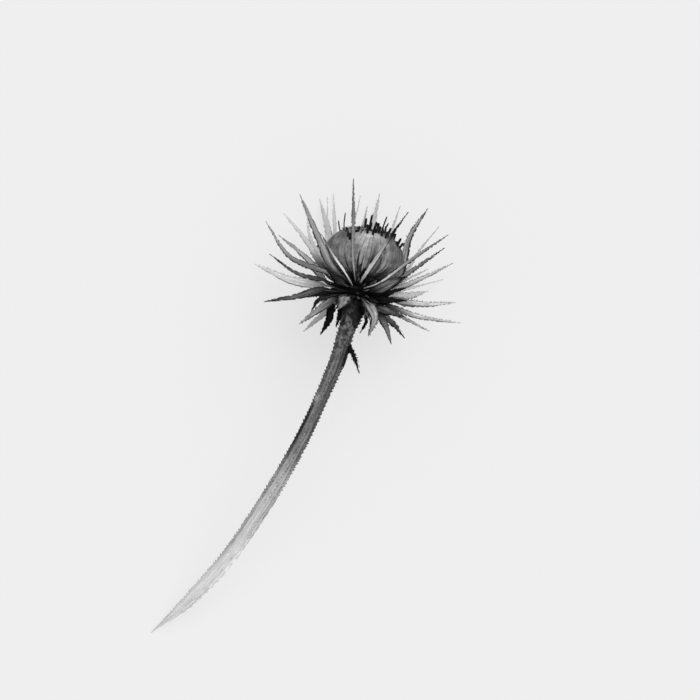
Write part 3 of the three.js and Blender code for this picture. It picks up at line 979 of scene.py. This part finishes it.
def add_fibre(skin, rng, start, end, turn, depth, width, bias, shift=0.0):
    """A fibre that lies along the stem and drifts a little round it."""
    drift = rng.uniform(-10, 10)
    places = [start + (end - start) * t for t in (0, 0.2, 0.4, 0.6, 0.8, 1)]
    points = [on_stem(p, turn + drift * (p - start), scale=depth, shift=shift) for p in places]
    radii = [width * 0.3, width * 0.9, width, width, width, width * 0.6]

    def tone(share, _):
        return stem_level(start + (end - start) * share, turn) + bias

    along = max(6, round(70 * (end - start)))
    skin.tube(points, radii, along, 6, flatten=0.6, tone=tone, span=(start, end))


STEM_RIBS = 11
HAIRY = 0.93  # the share of the stem's length at which its fibres and teeth end
TOOTH_ROWS = range(0, 360, 45)  # degrees round the stem
TOOTH_START = 0.45  # the share of its length at which most rows of teeth start
TOOTH_STARTS = {0: 0.46, 180: 0.04}  # and the others, by degrees round the stem


def make_stem():
    """The ribbed stem, its lifted fibres, its torn end and its teeth."""
    rng = random.Random(21)
    stem = Skin("stem_core", rng)

    def place(share, turn):
        rib = 0.04 * math.cos(turn * math.tau * STEM_RIBS + 3 * share) * min(1, share * 3)
        spot = Vector((share * 60, math.cos(turn * math.tau), math.sin(turn * math.tau)))
        size, shift = steps(CORE, share)
        shape = (size + (rib + 0.05 * noise.noise(spot)) * size) * drawn_in(share, 220)
        return on_stem(share, turn * 360, scale=shape, shift=shift)

    stem.roll(place, 220, 66, tone=lambda share, turn: stem_level(share, turn * 360))
    stem.finish("stem_fibre", "stem")
    add_lifted_fibres(rng)
    add_torn_end(rng)
    add_teeth(rng)


def add_lifted_fibres(rng):
    """Dry fibres that stand a little off the stem, all round its upper half and on top lower down."""
    fibres = Skin("stem_fibres", rng)
    for i in range(60):
        start = rng.uniform(0.3, 0.6)
        end = min(HAIRY, start + rng.uniform(0.1, 0.3))
        turn = i * GOLDEN_TURN
        add_fibre(fibres, rng, start, end, turn, 0.9, rng.uniform(0.1, 0.22), rng.gauss(0, 0.03))
    for i in range(30):
        start = rng.uniform(0.05, 0.36)
        end = start + rng.uniform(0.03, 0.12)
        size, shift = steps(CORE, (start + end) / 2)
        turn = rng.uniform(20, 130)
        add_fibre(fibres, rng, start, end, turn, size, rng.uniform(0.1, 0.18), 0.09, shift)
    fibres.finish("stem_fibre")


def add_torn_end(rng):
    """The fibres that the stem's end comes apart in, and broken ones along its right side."""
    torn = Skin("torn_fibres", rng)
    for start, end, turn, depth, width in TORN_FIBRES:
        add_fibre(torn, rng, start, end, turn, depth, width, 0.0)
    for start, end, across in FRINGE:
        here = start
        while here < end:
            length = rng.uniform(0.006, 0.03)
            turn = math.degrees(math.acos(across)) + rng.uniform(-5, 5)
            add_fibre(torn, rng, here, here + length, turn, 1, rng.uniform(0.12, 0.22), -0.03)
            here += length + rng.uniform(0.002, 0.012)
    torn.finish("stem_fibre")


def add_teeth(rng):
    """Rows of fine teeth, worn short on the stem's underside."""
    teeth = Skin("stem_teeth", rng)
    for turn in TOOTH_ROWS:
        below = 180 < turn < 360
        here = TOOTH_STARTS.get(turn, TOOTH_START)
        while here < HAIRY:
            size, shift = steps(CORE, here)
            length = rng.uniform(0.25, 0.7) * (0.3 if below else 1)
            spot = turn + rng.uniform(-8, 8)
            root = on_stem(here, spot, raised=-0.2, scale=size, shift=shift)
            top = on_stem(min(1, here + 0.005), spot, raised=length, scale=size, shift=shift)
            level = stem_level(here, spot) - (0.12 if here > TOOTH_START else 0.04)
            points = [root, root.lerp(top, 0.5), top]
            teeth.tube(points, [0.34, 0.24, 0.03], 3, 4, tone=level, span=(here, here))
            here += rng.uniform(0.005, 0.011)
    teeth.finish("stem_fibre")


LEAF_JOINT = 0.822  # the share of the stem's length at which the leaf joins it
# End on the stem, degrees round it and half width of each fork of the leaf's foot
LEAF_FORKS = [(0.792, 14, 0.3), (0.8, 30, 0.34), (0.845, 20, 0.45)]


def make_leaf():
    """A small leaf: one blade out from the stem, and three forks at its foot that clasp the stem."""
    rng = random.Random(2)
    blade = Blade("stem_leaf")
    skin = Skin("stem_leaf_blade", rng)

    def tone(share, turn):
        return 0.1 + 0.08 * share

    lay_blade(skin, blade, rng, 40, 14, fold=0.5, ragged=0.3, blunt=-0.45, tone=tone, rim=0.06)
    margin_spines(skin, blade, rng, 1.6, 0.7, tone, 0.08)
    joint = blade.centres[0]
    for end, turn, width in LEAF_FORKS:
        middle = on_stem((LEAF_JOINT + end) / 2, turn, raised=0.2)
        points = [joint, middle, on_stem(end, turn, raised=-0.1)]
        skin.tube(points, [width, width * 0.8, 0.05], 8, 8, tone=0.16, rim=0.06)
    skin.finish("dark_bract", "stem_leaf")


# ---------------------------------------------------------------- surface, light and camera


FLOOR_REACH = 3  # metres from its middle to each side
ROOM_LIGHT = 0.72
SUN_LIGHT = 1.1
SUN_SOFTNESS = math.radians(50)
TO_SUN = Vector((0.3, 0.45, 0.85))
TO_CAMERA = Vector((-2.16, -20.88, 840))  # millimetres from the receptacle's middle
LENS = 120  # millimetres, as is the film's width
FILM_WIDTH = 36


def make_surroundings():
    """The pale floor, and soft light from all round and from high on the right."""
    bm = bmesh.new()
    bmesh.ops.create_grid(bm, x_segments=1, y_segments=1, size=FLOOR_REACH)
    mesh = bpy.data.meshes.new("floor")
    bm.to_mesh(mesh)
    bm.free()
    mesh.materials.append(floor_finish())
    floor = bpy.data.objects.new("floor", mesh)
    bpy.context.scene.collection.objects.link(floor)

    world = bpy.data.worlds.new("soft_room")
    world.use_nodes = True
    world.node_tree.nodes["Background"].inputs["Color"].default_value = (1, 1, 1, 1)
    world.node_tree.nodes["Background"].inputs["Strength"].default_value = ROOM_LIGHT
    bpy.context.scene.world = world

    sun = bpy.data.lights.new("soft_sun", "SUN")
    sun.energy = SUN_LIGHT
    sun.angle = SUN_SOFTNESS
    lamp = bpy.data.objects.new("soft_sun", sun)
    lamp.rotation_euler = TO_SUN.to_track_quat("Z", "Y").to_euler()
    bpy.context.scene.collection.objects.link(lamp)


def make_camera():
    """Straight above the plant, a little below the head."""
    camera = bpy.data.cameras.new("camera")
    camera.lens = LENS
    camera.sensor_width = FILM_WIDTH
    viewer = bpy.data.objects.new("camera", camera)
    viewer.location = RECEPTACLE + TO_CAMERA * MM
    bpy.context.scene.collection.objects.link(viewer)
    bpy.context.scene.camera = viewer
    bpy.context.scene.view_settings.view_transform = "Standard"


make_surroundings()
make_camera()
make_stem()
make_leaf()
make_bulb()
make_florets()
make_basal_scales()
make_bracts()
